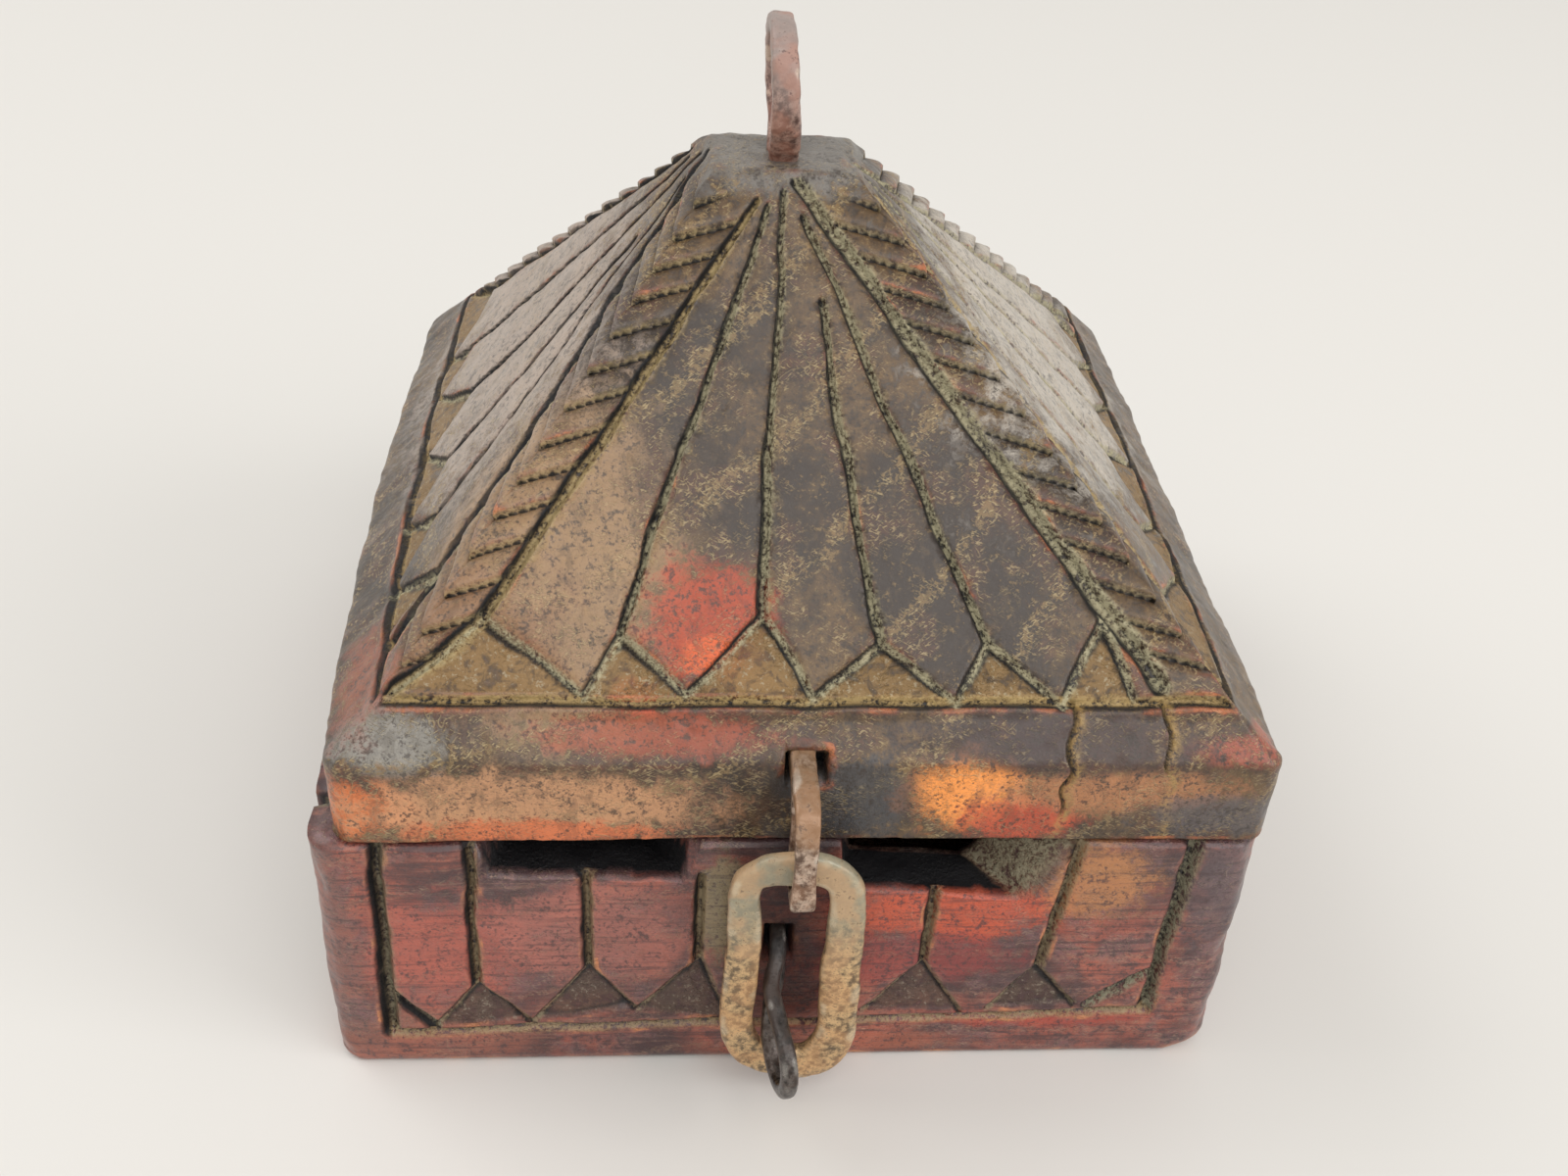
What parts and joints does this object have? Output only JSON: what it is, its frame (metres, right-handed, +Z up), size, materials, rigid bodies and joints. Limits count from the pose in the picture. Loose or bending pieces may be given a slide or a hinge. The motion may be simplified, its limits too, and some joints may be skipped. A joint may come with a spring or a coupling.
{
  "type": "powder box",
  "caption": "Square carved wooden powder box with a hinged pyramid lid, wells inside, an iron lifting loop, and a hasp link over a lock staple.",
  "frame": {"origin": "middle of the flat underside of the body block, where the box rests", "axes": "+Z up, -Y towards the hasp on the front, +X to the right as seen from the front; the lid hinge axis runs along X behind the body"},
  "size_m": [0.1442, 0.1762, 0.1483],
  "materials": {
    "carved_wood": "oiled and worn",
    "rusty_iron": "red-brown rust",
    "worn_iron": "worn brown patina",
    "dark_iron": "dark polished by use"
  },
  "bodies": {
    "box": {"body_block": "carved_wood", "lock_staple": "dark_iron", "hinge_staple_body_left": "dark_iron", "hinge_staple_body_right": "dark_iron"},
    "lid": {"lid_block": "carved_wood", "lid_loop": "rusty_iron", "hasp_staple": "worn_iron", "hinge_staple_lid_left": "dark_iron", "hinge_staple_lid_right": "dark_iron"},
    "link": {"hasp_link": "worn_iron"}
  },
  "joints": [
    {"name": "lid_hinge", "type": "hinge", "parent": "box", "child": "lid", "pos_m": [0, 0.0795, 0.05], "axis": [-1, 0, 0], "range_deg": [0, 150]},
    {"name": "hasp_swing", "type": "hinge", "parent": "lid", "child": "link", "pos_m": [0.0007, -0.0783, 0.0515], "axis": [-1, 0, 0], "range_deg": [-4, 195]}
  ]
}
